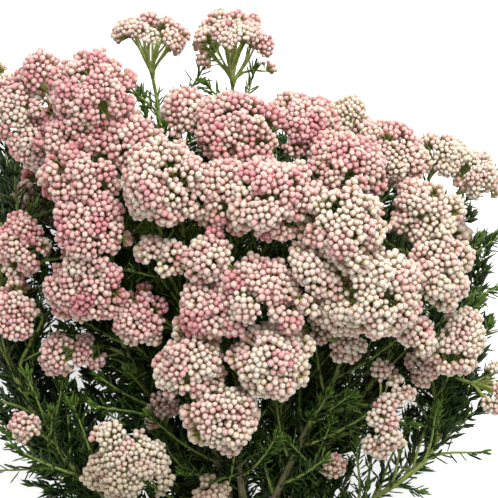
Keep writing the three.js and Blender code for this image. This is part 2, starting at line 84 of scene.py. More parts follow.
# A flower head: the limb that bears it, how pink it is from 0 to 1, the way it faces, and its domes,
# each a middle and a radius.
HEADS = {
    "top_left": ("left_up", 0.36, (-0.15, 0.93, 0.33), [(-57, 115, 92, 23), (-54, 105, 100, 13)]),
    "top_middle": ("centre_up", 0.28, (0.05, 0.93, 0.35), [
        (-8, 112, 90, 25), (6, 98, 88, 9), (16, 95, 84, 8),
    ]),
    "crown_left": ("left_up", 0.6, (-0.3, 0.6, 0.74), [
        (-86, 84, 133, 28), (-97, 60, 128, 18), (-116, 95, 120, 13),
    ]),
    "edge_left": ("left_low", 0.44, (-0.6, 0.5, 0.62), [
        (-128, 78, 108, 22), (-142, 84, 100, 17), (-118, 55, 112, 15),
    ]),
    "upper_left": ("left_mid", 0.6, (-0.35, 0.4, 0.85), [(-91, 39, 140, 23)]),
    "front_upper_left": ("front_left", 0.42, (-0.2, 0.32, 0.92), [(-46, 33, 160, 26), (-63, 57, 142, 18)]),
    "crown_middle": ("centre_up", 0.52, (-0.04, 0.68, 0.73), [(-6, 62, 140, 24), (-34, 74, 122, 17)]),
    "crown_right": ("right_up", 0.6, (0.12, 0.75, 0.65), [(30, 69, 124, 22)]),
    "back_right": ("right_up", 0.1, (0.2, 0.92, 0.33), [(56, 72, 96, 15)]),
    "upper_right": ("right_up", 0.58, (0.2, 0.55, 0.81), [(51, 45, 142, 23)]),
    "shoulder_right": ("right_mid", 0.4, (0.38, 0.7, 0.6), [(80, 52, 116, 21)]),
    "edge_upper_right": ("right_mid", 0.12, (0.45, 0.8, 0.4), [(107, 51, 96, 16)]),
    "edge_right": ("right_mid", 0.2, (0.68, 0.62, 0.38), [(127, 40, 84, 17)]),
    "front_middle": ("front_mid", 0.45, (0.03, 0.42, 0.91), [(12, 27, 165, 26), (-15, 29, 158, 19)]),
    "front_right": ("front_right", 0.25, (0.22, 0.3, 0.93), [(52, 10, 165, 28), (36, -10, 163, 19)]),
    "front_lower_right": ("front_right", 0.15, (0.32, -0.02, 0.95), [
        (70, -24, 163, 26), (48, -32, 152, 17), (90, -47, 144, 13),
    ]),
    "right_upper": ("right_mid", 0.2, (0.42, 0.4, 0.81), [(95, 20, 136, 22)]),
    "right_middle": ("right_mid", 0.22, (0.6, 0.1, 0.79), [(101, -12, 142, 24)]),
    "right_lower": ("right_low", 0.22, (0.55, -0.2, 0.81), [(112, -51, 120, 18), (98, -63, 108, 12)]),
    "centre": ("front_mid", 0.45, (0, 0.1, 0.99), [
        (7, -24, 160, 24), (-20, -5, 162, 15), (-22, -34, 156, 18),
    ]),
    "centre_low": ("front_mid", 0.26, (0.12, -0.12, 0.98), [(10, -59, 154, 25)]),
    "centre_left": ("front_left", 0.3, (-0.2, -0.1, 0.97), [(-32, -63, 150, 20)]),
    "centre_bottom": ("front_mid", 0.2, (-0.05, -0.32, 0.95), [(-13, -91, 148, 21)]),
    "sprig_left": ("front_left", 0.35, (-0.25, 0.3, 0.92), [(-52, -3, 150, 10), (-41, -3, 152, 9)]),
    "left_middle": ("left_mid", 0.64, (-0.4, 0.15, 0.9), [(-86, 11, 145, 22)]),
    "left_edge_middle": ("left_low", 0.52, (-0.7, 0.15, 0.7), [(-123, 3, 114, 19)]),
    "left_lower": ("left_mid", 0.6, (-0.4, -0.05, 0.92), [(-87, -19, 137, 23)]),
    "left_edge_lower": ("left_low", 0.52, (-0.75, 0, 0.66), [(-128, -36, 112, 18)]),
    "inner_left": ("front_left", 0.55, (-0.3, -0.1, 0.95), [(-59, -36, 130, 17)]),
    "sparse_left": ("left_mid", 0.5, (-0.4, -0.2, 0.89), [(-88, -56, 110, 12), (-104, -57, 112, 13)]),
    "bottom_left": ("left_mid", 0.12, (-0.32, -0.3, 0.9), [(-64, -120, 124, 28)]),
    "deep_left": ("left_mid", 0.3, (-0.2, 0.2, 0.96), [(-46, -89, 101, 12)]),
    "column_right": ("front_right", 0.25, (0.35, -0.35, 0.87), [
        (73, -91, 122, 12), (73, -104, 116, 13), (81, -78, 124, 10), (72, -68, 122, 8),
    ]),
    "inner_right": ("front_right", 0.25, (0.15, -0.3, 0.94), [(52, -53, 132, 11), (37, -42, 128, 13)]),
    "small_left": ("left_low", 0.25, (-0.5, 0.3, 0.8), [(-122, -98, 110, 10)]),
    "bottom_edge_right": ("right_low", 0.12, (0.8, -0.1, 0.6), [(138, -77, 86, 18)]),
    "small_right": ("right_low", 0.4, (0.3, -0.2, 0.93), [(46, -121, 98, 9)]),
    "bottom_middle": ("front_mid", 0.15, (0, -0.3, 0.95), [(-20, -133, 122, 12)]),
    "under_edge_left": ("under_left", 0.45, (-0.75, 0.3, -0.45), [(-112, 34, 54, 25)]),
    "under_top_left": ("under_left", 0.4, (-0.5, 0.8, -0.3), [(-84, 70, 58, 24)]),
    "under_top_middle": ("under_right", 0.35, (0, 0.8, -0.5), [(-6, 62, 48, 24)]),
    "under_top_right": ("under_right", 0.3, (0.45, 0.8, -0.3), [(58, 58, 58, 23)]),
    "under_edge_right": ("under_right", 0.2, (0.85, 0.2, -0.4), [(106, 8, 50, 24)]),
    "under_upper_left": ("under_left", 0.4, (-0.2, 0.25, -0.95), [(-62, 52, 19, 26)]),
    "under_upper_right": ("under_right", 0.3, (0.15, 0.2, -0.96), [(46, 40, 19, 26)]),
    "under_lower_left": ("under_left", 0.35, (-0.1, -0.1, -0.99), [(-34, -22, 17, 23)]),
    "under_lower_right": ("under_right", 0.25, (0.12, -0.1, -0.98), [(34, -32, 16.5, 22)]),
}


def placed(points):
    """Points of the tables, in the frame and in metres."""
    return (np.asarray(points, float) + TABLE_OFFSET) * MM


def unit(vectors):
    """Vectors of length one."""
    return np.asarray(vectors) / np.linalg.norm(vectors, axis=-1, keepdims=True)


def apart(points, others):
    """A table of how far each point lies from each of some others."""
    return np.linalg.norm(points[:, None] - others[None], axis=2)


def smooth_path(points, steps=60):
    """A centripetal Catmull-Rom curve through points. Between two of them it is the cubic that leaves
    and arrives along the slopes of the neighbours, each gap counted by the root of its length."""
    ends = [2 * points[0] - points[1]], points, [2 * points[-1] - points[-2]]
    p = np.concatenate(ends)
    gap = np.sqrt(np.linalg.norm(np.diff(p, axis=0), axis=1))[:, None]
    a, b, c, d = p[:-3], p[1:-2], p[2:-1], p[3:]
    before, here, after = gap[:-2], gap[1:-1], gap[2:]
    leave = ((b - a) / before - (c - a) / (before + here) + (c - b) / here) * here
    arrive = ((c - b) / here - (d - b) / (here + after) + (d - c) / after) * here
    t = np.linspace(0, 1, steps, endpoint=False)[None, :, None]
    b, c, leave, arrive = (x[:, None] for x in (b, c, leave, arrive))
    squared = (3 * (c - b) - 2 * leave - arrive) * t**2
    cubed = (2 * (b - c) + leave + arrive) * t**3
    cubic = b + leave * t + squared + cubed
    return np.concatenate([cubic.reshape(-1, 3), points[-1:]])


def length_along(path):
    """The length of a path up to each of its points."""
    return np.concatenate([[0], np.cumsum(np.linalg.norm(np.diff(path, axis=0), axis=1))])


def at(path, distances):
    """The points of a path at some distances from its start."""
    along = length_along(path)
    return np.stack([np.interp(distances, along, path[:, k]) for k in range(3)], axis=-1)


def heading(path, distances):
    """The way a path runs at some distances from its start."""
    step = 0.0005
    return unit(at(path, distances + step) - at(path, np.maximum(distances - step, 0)) + TINY)


def least_spread(paths):
    """For each path, the direction in which its points spread least, which lies across the path."""
    middle = paths - paths.mean(axis=1, keepdims=True)
    return np.linalg.svd(middle, full_matrices=False)[2][:, 2]


def tube_pattern(sides, rings):
    """The triangles of a closed tube of rings between two poles: fans at the poles, bands between.
    For each triangle's corners it gives the vertex, the place round in turns, and the path's point."""
    row, column = np.meshgrid(np.arange(rings + 1), np.arange(sides), indexing="ij")
    corners = [(row, column), (row, column + 1), (row + 1, column + 1), (row + 1, column)]
    lower = [np.stack([c[k][1:].ravel() for c in corners[:3]], axis=1) for k in (0, 1)]
    upper = [np.stack([c[k][:-1].ravel() for c in (corners[0], *corners[2:])], axis=1) for k in (0, 1)]
    rows, columns = (np.concatenate([lower[k], upper[k]]) for k in (0, 1))
    last = 1 + rings * sides
    vertices = np.where(rows == 0, 0, np.minimum(1 + (rows - 1) * sides + columns % sides, last))
    return vertices, columns / sides, rows


def tubes(paths, radii, side, sides, tone, along=None, flat=1.0):
    """One closed tube along each path. The path's first and last points are its poles. Round each other
    point p lies a ring: p + radius × (cos a × across + flat × sin a × back), with a going full circle,
    across the given side squared to the path, and back square to both. tone is kept at each point."""
    count, points = paths.shape[:2]
    rings = points - 2
    way = unit(paths[:, 2:] - paths[:, :-2])
    across = side[:, None] - (side[:, None] * way).sum(-1, keepdims=True) * way
    across = unit(across)[:, :, None]
    back = np.cross(way, across[:, :, 0])[:, :, None]
    angle = np.linspace(0, 2 * math.pi, sides, endpoint=False)[:, None]
    radii = np.broadcast_to(radii if np.ndim(radii) == 3 else radii[..., None], (count, rings, sides))
    skin = paths[:, 1:-1, None] + radii[..., None] * (np.cos(angle) * across + flat * np.sin(angle) * back)
    vertices = np.concatenate([paths[:, :1], skin.reshape(count, -1, 3), paths[:, -1:]], axis=1)
    pattern, turns, rows = tube_pattern(sides, rings)
    if along is None:
        steps = np.linalg.norm(np.diff(paths, axis=1), axis=2)
        along = np.concatenate([np.zeros((count, 1)), np.cumsum(steps, axis=1)], axis=1)
    along = np.broadcast_to(along, (count, points))
    tone = np.broadcast_to(tone, (count, points))
    ring_tone = np.repeat(tone[:, 1:-1], sides, axis=1)
    return {
        "points": vertices.reshape(-1, 3),
        "faces": (pattern[None] + vertices.shape[1] * np.arange(count)[:, None, None]).reshape(-1, 3),
        "uv": np.stack([np.broadcast_to(turns, (count, *turns.shape)), along[:, rows]], -1).reshape(-1, 2),
        "tone": np.concatenate([tone[:, :1], ring_tone, tone[:, -1:]], axis=1).ravel(),
    }


def capped(paths):
    """Paths with their first and last points doubled, so that a tube's poles lie in its end rings."""
    return np.concatenate([paths[:, :1], paths, paths[:, -1:]], axis=1)


def outwards(path, way, turn):
    """Directions square to a path's way, at some turns round it."""
    across = unit(np.cross(way, least_spread(path[None])))
    return np.cos(turn) * across + np.sin(turn) * np.cross(way, across)


def build_piece(name, skins, material, slot, *nodes):
    """Makes one mesh object of some skins, which keeps each vertex's tone, and which stands for nodes."""
    starts = np.cumsum([0] + [len(s["points"]) for s in skins])
    points = np.concatenate([s["points"] for s in skins]).astype(np.float32)
    points[:, 2] = np.maximum(points[:, 2], 0)  # pressed flat where it lies on the table
    faces = np.concatenate([s["faces"] + start for s, start in zip(skins, starts)]).astype(np.int32)
    mesh = bpy.data.meshes.new(name)
    mesh.vertices.add(len(points))
    mesh.vertices.foreach_set("co", points.ravel())
    mesh.loops.add(faces.size)
    mesh.loops.foreach_set("vertex_index", faces.ravel())
    mesh.polygons.add(len(faces))
    mesh.polygons.foreach_set("loop_start", np.arange(0, faces.size, 3, dtype=np.int32))
    mesh.update(calc_edges=True)
    mesh.shade_smooth()
    uv = np.concatenate([s["uv"] for s in skins]).astype(np.float32)
    mesh.uv_layers.new(name="UVMap").data.foreach_set("uv", uv.ravel())
    tone = np.concatenate([s["tone"] for s in skins]).astype(np.float32)
    mesh.attributes.new("tone", "FLOAT", "POINT").data.foreach_set("value", tone)
    mesh.materials.append(material)
    piece = bpy.data.objects.new(name, mesh)
    bpy.context.scene.collection.objects.link(piece)
    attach(piece, "root")
    if nodes:
        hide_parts(*nodes)


def foot_of(faces, domes):
    """The foot of a flower head, where its twig ends."""
    x, y, z, radius = domes[0]
    return placed((x, y, z)) - unit(faces) * HEAD_DEPTH * radius * MM


def limb_path(name):
    """A limb: from the stem, past its points, to the foot of the head at its end."""
    from_y, last_head, via = LIMBS[name]
    _, _, faces, domes = HEADS[last_head]
    foot = foot_of(faces, domes)
    start = stem_path[np.abs(stem_path[:, 1] - placed((0, from_y, 0))[1]).argmin()]
    before_foot = foot - unit(faces) * LAST_STRAIGHT
    return smooth_path(np.concatenate([[start], placed(via), [before_foot, foot]]))


stem_path = smooth_path(placed(STEM_POINTS))
limb_paths = {name: limb_path(name) for name in LIMBS}


class Nodes:
    """A material's or a group's node tree: add makes a node with its values and wires."""

    def __init__(self, tree):
        self.tree = tree

    def give(self, node, **inputs):
        """Values or wires for a node. An input's key is its name, or its number after a dash below."""
        for key, value in inputs.items():
            socket = node.inputs[int(key[1:]) if key[1:].isdigit() else key.replace("_", " ")]
            if isinstance(value, bpy.types.NodeSocket):
                self.tree.links.new(value, socket)
            else:
                socket.default_value = value

    def add(self, kind, settings=None, **inputs):
        node = self.tree.nodes.new(kind)
        for key, value in (settings or {}).items():
            setattr(node, key, value)
        self.give(node, **inputs)
        return node

    def math(self, operation, a, b=0.0):
        return self.add("ShaderNodeMath", {"operation": operation}, _0=a, _1=b).outputs[0]

    def ramp(self, value, low, high):
        """0 below low, 1 above high, smooth in between."""
        smooth = {"interpolation_type": "SMOOTHSTEP"}
        return self.add("ShaderNodeMapRange", smooth, Value=value, From_Min=low, From_Max=high).outputs[0]

    def mix(self, share, a, b):
        """The colour a where share is 0, and b where it is 1."""
        a, b = (srgb(*x) if isinstance(x, tuple) else x for x in (a, b))
        return self.add("ShaderNodeMix", {"data_type": "RGBA"}, _0=share, _6=a, _7=b).outputs[2]

    def fade(self, value, low, high, a, b):
        """The colour a where a value is below low, and b where it is above high."""
        return self.mix(self.ramp(value, low, high), a, b)

    def stray(self, value, noise, width):
        """A value, plus the width times what a noise is above a half."""
        return self.math("ADD", value, self.math("MULTIPLY", self.math("SUBTRACT", noise, 0.5), width))

    def tone(self):
        """The tone that the skins keep at each vertex."""
        return self.add("ShaderNodeAttribute", {"attribute_name": "tone"}).outputs["Fac"]

    def bump(self, strength, distance, height):
        values = {"Strength": strength, "Distance": distance, "Height": height}
        return self.add("ShaderNodeBump", None, **values).outputs[0]

    def noise(self, vector, scale, detail=3.0):
        settings = {"Vector": vector, "Scale": scale, "Detail": detail, "Roughness": 0.55}
        return self.add("ShaderNodeTexNoise", None, **settings).outputs[0]


def srgb(red, green, blue):
    """A colour given as 0 to 255 on screen, as the light that it reflects: a share of it near black, and
    elsewhere the power 2.4 of it, as the sRGB standard says. The last value is full cover."""
    value = np.array([red, green, blue]) / 255
    light = np.where(value < 0.04045, value / 12.92, ((value + 0.055) / 1.055) ** 2.4)
    return (*light.tolist(), 1.0)


def fibre_group():
    """A group used by wood, stalks and leaves: streaks that run along a tube's own UV map, and mottling
    on its Object coordinates. Streaks are noise of a circle, round times as wide, and of the place along
    the tube, along times as long."""
    tree = bpy.data.node_groups.new("fibres", "ShaderNodeTree")
    for name, kind, value in (
        ("Round", "NodeSocketFloat", 10.0), ("Along", "NodeSocketFloat", 200.0),
        ("Mottle Scale", "NodeSocketFloat", 200.0),
    ):
        tree.interface.new_socket(name, in_out="INPUT", socket_type=kind).default_value = value
    for name in ("Streaks", "Mottle", "Along UV"):
        tree.interface.new_socket(name, in_out="OUTPUT", socket_type="NodeSocketFloat")
    n = Nodes(tree)
    given = n.add("NodeGroupInput").outputs
    uv = n.add("ShaderNodeUVMap", {"uv_map": "UVMap"}).outputs[0]
    split = n.add("ShaderNodeSeparateXYZ", None, Vector=uv).outputs
    place = n.add("ShaderNodeTexCoord").outputs["Object"]
    # A turn becomes a circle, so that the streaks meet where it closes.
    turn = n.math("MULTIPLY", split[0], 2 * math.pi)
    stretched = n.add(
        "ShaderNodeCombineXYZ", None,
        X=n.math("MULTIPLY", n.math("COSINE", turn), given["Round"]),
        Y=n.math("MULTIPLY", n.math("SINE", turn), given["Round"]),
        Z=n.math("MULTIPLY", split[1], given["Along"]),
    ).outputs[0]
    streaks = n.noise(stretched, 1.0, 4.0)
    mottle = n.noise(place, given["Mottle Scale"], 3.0)
    n.add("NodeGroupOutput", None, Streaks=streaks, Mottle=mottle, Along_UV=split[1])
    return tree


fibres = fibre_group()


def new_material(name):
    """A new material, its nodes, and its principled shader."""
    material = bpy.data.materials.new(name)
    material.use_nodes = True
    return material, Nodes(material.node_tree), material.node_tree.nodes["Principled BSDF"]


def bark_material():
    """Brown bark, greyer in patches, turning green as tone rises from 0, old wood, to 1, young stalk.
    Below tone -0.5 it is the pale wood of the cut, with rays."""
    material, n, shader = new_material("bark")
    tone = n.tone()
    group = n.add("ShaderNodeGroup", {"node_tree": fibres}, Round=3.0, Along=90.0, Mottle_Scale=160.0)
    streaks, mottle, _ = group.outputs
    wood = n.fade(streaks, 0.3, 0.68, (62, 47, 36), (142, 120, 96))
    wood = n.fade(mottle, 0.52, 0.72, wood, (118, 112, 98))
    green = n.fade(streaks, 0.3, 0.7, (104, 128, 48), (158, 176, 92))
    rising = n.stray(tone, mottle, 0.5)
    colour = n.fade(rising, 0.2, 0.75, wood, green)
    pale = n.fade(streaks, 0.35, 0.7, (196, 172, 128), (228, 208, 164))
    colour = n.fade(tone, -0.4, -0.6, colour, pale)
    rough = n.math("SUBTRACT", 0.86, n.math("MULTIPLY", mottle, 0.2))
    n.give(shader, Base_Color=colour, Roughness=rough, Normal=n.bump(0.6, 0.0004, streaks))
    return material


bark = bark_material()


def stem_skin():
    """The stem: its radius falls evenly from the cut to the last fork, times 1 + ridges, which are
    sines of the angle that wander slowly along it, + scars, which are low bumps on a spiral."""
    total = length_along(stem_path)[-1]
    distance = np.linspace(0.0004, total, STEM_RINGS)
    rings = at(stem_path, distance)
    turn = np.linspace(0, 2 * math.pi, STEM_SIDES, endpoint=False)[None, :]
    s = distance[:, None]
    wander = 1.6 * np.sin(s * 31) + 0.9 * np.sin(s * 83 + 1)
    (few, high), (many, low) = RIDGES
    relief = high * np.sin(few * turn + wander) + low * np.sin(many * turn - 1.4 * wander + 2)
    scar_at = np.arange(FIRST_SCAR, total, SCAR_STEP)
    scar_turn = np.arange(len(scar_at)) * GOLDEN_ANGLE
    off = np.angle(np.exp(1j * (turn[None] - scar_turn[:, None, None])))
    beyond = (s[None] - scar_at[:, None, None]) / SCAR_LENGTH
    scars = np.exp(-beyond ** 2 - (off / SCAR_WIDTH) ** 2).sum(axis=0)
    taper = np.linspace(STEM_RADIUS, FORK_RADIUS, STEM_RINGS)[:, None]
    radius = taper * (1 + relief + SCAR_HEIGHT * scars)
    # The cut face is a pole and a ring of bare wood, and then the rim of the bark.
    cut = stem_path[[0, 0, 0]] + np.array([[0], [0], [0.0001]]) * heading(stem_path, np.array([0.0]))
    path = np.concatenate([cut, rings, rings[-1:] + unit(rings[-1:] - rings[-2:-1]) * FORK_RADIUS * 0.6])
    radii = np.concatenate([radius[:1] * 0.84, radius[:1] * 0.92, radius])
    tone = np.concatenate([[-1, -1, 0], np.linspace(0, 0.35, STEM_RINGS + 1)])
    return tubes(path[None], radii[None], least_spread(path[None]), STEM_SIDES, tone[None])


def stub_skins():
    """The woody feet of the limbs: round, and wider where they leave the stem by a collar that dies
    away as exp(-distance over the collar's length)."""
    distance = np.linspace(0, STUB_LENGTH, STUB_RINGS)
    paths = np.stack([at(path, distance) for path in limb_paths.values()])
    radius = np.linspace(*STUB_RADIUS, STUB_RINGS) + COLLAR_HEIGHT * np.exp(-distance / COLLAR_LENGTH)
    tone = np.concatenate([[0], np.linspace(0.1, 0.42, STUB_RINGS), [0.42]])
    return tubes(capped(paths), radius[None], least_spread(paths), STUB_SIDES, tone[None])


build_piece("stem", [stem_skin(), stub_skins()], bark, "bark", "main_stem")


# Leafy branches. Each is a limb with twigs that end in flower heads and shoots that end in a tuft of
# leaves. Green above and woody below, they are set all round with narrow, blunt needle leaves.

# For each kind of twig: its radius and its tone at the foot and at the tip, how many rings and sides it
# has, the step from leaf to leaf, and how much of it is bare at the foot and at the tip.
TWIGS = {
    "limb": ((0.0022, 0.0010), (0.25, 0.95), 60, 7, 0.0015, (0.004, 0.012)),
    "stalk": ((0.00125, 0.00085), (0.7, 1.1), 10, 7, 0.0026, (0.005, 0.003)),
    "shoot": ((0.0010, 0.0005), (0.6, 1.0), 7, 5, 0.0012, (0.004, 0.001)),
    "side": ((0.0010, 0.0005), (0.6, 1.0), 7, 5, 0.00125, (0.004, 0.001)),
    "deep": ((0.0010, 0.0005), (0.3, 0.7), 5, 4, 0.0013, (0.004, 0.001)),
}
FIRST_FORK = STUB_LENGTH + 0.008
LAST_FORK = 0.93  # of a limb, over its length
STEEPEST_FORK = math.radians(48)
STEEP_COST = 0.4  # metres for each radian past that
TWIG_EASE = (0.36, 0.34)  # how far it keeps its first and its last way, over its length

DOME_REACH = 1.08  # of the outermost bud, over its dome's radius
SADDLE = 0.0055  # a greater length joins heads that meet by a higher saddle
CONE_DEPTH = 0.3  # how deep under a dome's rim no leaf grows, over the dome's radius

# Side shoots: from one to the next, their length, and what is bare at the bearer's foot and tip.
SIDES = {"limb": (0.0085, 0.038, (STUB_LENGTH + 0.006, 0.028)), "stalk": (0.013, 0.026, (0.010, 0.012))}
SIDE_LENGTHS = (0.6, 1.25)
SIDE_WAY = 1.1  # outwards, over forwards
SIDE_BEND = 0.35  # forwards at the tip, over the length
SIDE_LOWEST = 0.008
STRAY = 0.3  # of a step, by which leaves and side shoots miss their places

DEEP_SHOOTS = 520
DEEP_SPREAD = (0.7548777, 0.5698403, 0.4301597)  # the last two add up to one
DEEP_LOW, DEEP_HIGH = (-148, -154, 14), (138, 72, 88)  # the room that they fill, in the tables' places
DEEP_SOURCE = (0, -215, 58)
DEEP_LENGTH = 0.045
DEEP_ROOM = 0.004  # from the buds
# Open places, in the tables' places: beyond a line through x and y, with a slope.
OPEN_RIGHT, OPEN_LEFT, PAST_HEADS = (58, -112, 0.2), (-124, -112, -0.5), (30, 72, -0.45)
OPEN_SHARE = 0.5  # of the leaves there are left off
WIDEST, HIGHEST = 0.150, 0.172  # as far as side shoots reach

LEAF_LENGTH = 0.0115
LEAF_WIDTH = 0.00132
LEAF_LENGTHS, LEAF_WIDTHS = (0.72, 1.15), (0.85, 1.15)
LEAF_LEAN = math.radians(50)  # away from the twig
LEAF_LEANS = (0.7, 1.35)
LEAF_BEND = (-0.3, 0.1)  # inwards and outwards at the tip, over the length
LEAF_FLATNESS = 0.55
LEAF_REACH = 0.1575  # as far to either side as a leaf's tip may be
TUFT = np.geomspace(0.0002, 0.006, 9)  # how far from a shoot's tip the leaves of its tuft stand
YOUNG = 0.007  # length over which leaves grow young towards a tip
PALE_PAST = 0.212  # leaves nearer than this to the stem's foot are the darker ones
PLAIN_BELOW = 0.062  # leaves lower than this are of the plainer, inner kind
OUTER_LEAF = ((0, 0.28, 0.8, 1), (0.95, 0.85))  # a leaf's places along, and its widths at the middle ones
PLAIN_LEAF = ((0, 0.45, 1), (1.85,))

# Where the longer leafy shoots of each limb end.
SHOOT_TIPS = {
    "left_low": [
        (-152, -30, 96), (-146, -82, 104), (-140, -124, 84), (-103, -72, 106),
        (-96, -100, 70), (-152, 36, 76), (-66, -140, 94), (-118, -44, 78),
        (-112, -60, 60), (-100, -84, 50), (-122, -96, 62), (-92, -112, 60),
        (-134, -70, 58), (-84, -88, 64), (-108, -122, 60), (-126, -118, 66),
        (-117, -16, 62), (-112, -30, 54), (-121, -42, 60), (-92, -72, 54), (-100, -80, 50),
    ],
    "left_mid": [(-84, -86, 118), (-66, -68, 114), (-82, 26, 96), (-48, -110, 76), (-84, -58, 84)],
    "left_up": [(-72, 92, 88), (-58, -70, 92)],
    "centre_up": [(-24, 92, 82), (12, 76, 88), (-4, 6, 84), (8, -8, 76), (-16, 20, 82), (16, 18, 70)],
    "right_up": [(34, -62, 96), (24, -96, 84)],
    "right_mid": [
        (140, 8, 98), (140, -22, 86), (78, -46, 100), (150, 14, 72),
        (84, -72, 90), (70, -98, 74),
    ],
    "right_low": [
        (134, -44, 86), (130, -113, 92), (96, -136, 78), (66, -134, 84),
        (104, -88, 104), (60, -108, 96), (122, -94, 72), (84, -112, 96),
    ],
    "front_left": [(-48, -16, 132), (-36, -122, 122)],
    "front_mid": [(20, -3, 138), (14, -108, 120)],
    "front_right": [(34, -92, 112), (56, -84, 112)],
    "under_left": [(-64, -100, 42), (-98, -52, 48)],
    "under_right": [(66, -92, 42), (92, -46, 46)],
}

all_domes = np.array([[*placed(d[:3]), d[3] * MM] for head in HEADS.values() for d in head[3]])
all_ways = np.array([unit(head[2]) for head in HEADS.values() for _ in head[3]])


def head_surface(points):
    """How far points lie outside the heads' common surface, the way out of it, and the nearest dome.
    Each dome is a ball flattened along its way. Where two meet, a saddle joins them: the distance is
    minus a length times the log of the sum of exp(minus each dome's distance over that length)."""
    offset = points[:, None] - all_domes[None, :, :3]
    height = (offset * all_ways).sum(-1, keepdims=True)
    stretched = np.linalg.norm(offset + (1 / DOME_FLATNESS - 1) * height * all_ways, axis=-1)
    distance = stretched - all_domes[:, 3]
    share = np.exp(-np.clip(distance / SADDLE, -30, 30))
    out = (offset + (DOME_FLATNESS**-2 - 1) * height * all_ways) * (share / stretched)[..., None]
    return -SADDLE * np.log(share.sum(axis=1)), unit(out.sum(axis=1)), distance.argmin(axis=1)


def in_heads(points, room):
    """Whether each point lies among the buds of a head, or within some room of them: inside the common
    surface and above the nearest dome's middle, or inside the short cone under a dome."""
    distance, _, nearest = head_surface(points)
    offset = points[:, None] - all_domes[None, :, :3]
    height = (offset * all_ways).sum(-1)
    across = np.sqrt(np.maximum((offset**2).sum(-1) - height**2, 0))
    reach = all_domes[:, 3] * DOME_REACH + room
    below = across < reach * (1 + height / (CONE_DEPTH * all_domes[:, 3] + room))
    above = (distance < room) & (height[np.arange(len(points)), nearest] > 0)
    return above | (below & (height <= 0)).any(axis=1)


def bezier(a, b, c, d, steps=40):
    """The cubic Bézier curve from a to d that leaves towards b and arrives from c."""
    t = np.linspace(0, 1, steps)[:, None]
    return (1 - t) ** 3 * a + 3 * t * (1 - t) ** 2 * b + 3 * t**2 * (1 - t) * c + t**3 * d


def twig_path(limb, tip, way=None, span=0.0):
    """A twig leaves its limb, at one of a hundred places, at the fork that isn't too steep and whose
    distance to the tip is nearest to the span. It starts halfway between the limb's way and the way to
    the tip, and ends along the way its head faces."""
    total = length_along(limb)[-1]
    distance = total * np.arange(FIRST_FORK / total, LAST_FORK, 0.01)
    reach = tip - at(limb, distance)
    steep = np.arccos(np.clip((unit(reach) * heading(limb, distance)).sum(-1), -1, 1))
    cost = np.abs(np.linalg.norm(reach, axis=1) - span) + np.maximum(steep - STEEPEST_FORK, 0) * STEEP_COST
    fork = distance[cost.argmin()]
    root = at(limb, fork)
    length = np.linalg.norm(tip - root)
    way = unit(tip - root) if way is None else way
    leaving = unit(unit(tip - root) + heading(limb, fork))
    first, last = TWIG_EASE
    return bezier(root, root + leaving * length * first, tip - way * length * last, tip)


def in_open(points):
    """Whether points lie in a lower corner, where only single shoots reach out, or past the heads."""
    x, y = (points - TABLE_OFFSET * MM)[:, :2].T / MM
    lines = (OPEN_RIGHT, OPEN_LEFT, PAST_HEADS)
    right, left, past = (at_y + slope * (x - at_x) for at_x, at_y, slope in lines)
    in_right = (x > OPEN_RIGHT[0]) & (y < right)
    in_left = (x < OPEN_LEFT[0]) & (y < left)
    return in_right | in_left | (y > np.minimum(past, PAST_HEADS[1]))


def deep_tips():
    """Where the shoots of the dark inner foliage end: places spread evenly by multiples of irrational
    numbers, lower towards the flowering end, and none in the open corners. Each goes to the limb that
    runs nearest to a foot some way back from it towards the stem."""
    spread = np.outer(np.arange(DEEP_SHOOTS), DEEP_SPREAD) % 1
    tips = placed(DEEP_LOW) + spread * (placed(DEEP_HIGH) - placed(DEEP_LOW))
    tips = tips[~in_open(tips) & ~in_heads(tips, DEEP_ROOM)]
    feet = tips + unit(placed(DEEP_SOURCE) - tips) * DEEP_LENGTH
    bearer = np.argmin([apart(feet, limb).min(axis=1) for limb in limb_paths.values()], axis=0)
    return {name: tips[bearer == number] for number, name in enumerate(limb_paths)}


def side_shoots(bearer, kind, random):
    """Short shoots on a spiral along a limb or a stalk: each runs out at about 45 degrees and bends
    forward as the square of the distance along it. None ends in a head or near the table."""
    total = length_along(bearer)[-1]
    step, usual, (first, last) = SIDES[kind]
    fork = np.arange(first, max(total - last, first + 0.001), step)
    fork += random.uniform(-STRAY, STRAY, len(fork)) * step
    way = heading(bearer, fork)
    turn = (np.arange(len(fork)) * GOLDEN_ANGLE + random.uniform(0, 6))[:, None]
    out = outwards(bearer, way, turn)
    length = usual * random.uniform(*SIDE_LENGTHS, (len(fork), 1))
    t = np.linspace(0, 1, 12)[None, :, None]
    run = (unit(way + SIDE_WAY * out) * length)[:, None]
    paths = at(bearer, fork)[:, None] + t * run + t**2 * (way * length * SIDE_BEND)[:, None]
    tip, middle = paths[:, -1], paths[:, 6]
    clear = ~in_heads(tip, 0.001) & ~in_heads(middle, 0.001) & (tip[:, 2] > SIDE_LOWEST)
    inside = (np.abs(tip[:, 0]) < WIDEST) & (tip[:, 2] < HIGHEST)
    return list(paths[clear & inside & ((tip[:, 1] > 0.18) | ~in_open(tip))])


def wood_skins(paths, kind):
    """Tubes of some paths, each cut in equal steps, whose radius and tone run evenly along them."""
    radius, tone, rings, sides, _, _ = TWIGS[kind]
    paths = np.stack([at(path, np.linspace(0, length_along(path)[-1], rings)) for path in paths])
    tones = np.concatenate([[tone[0]], np.linspace(*tone, rings), [tone[1]]])
    radii = np.linspace(*radius, rings)
    return tubes(capped(paths), radii[None], least_spread(paths), sides, tones[None])


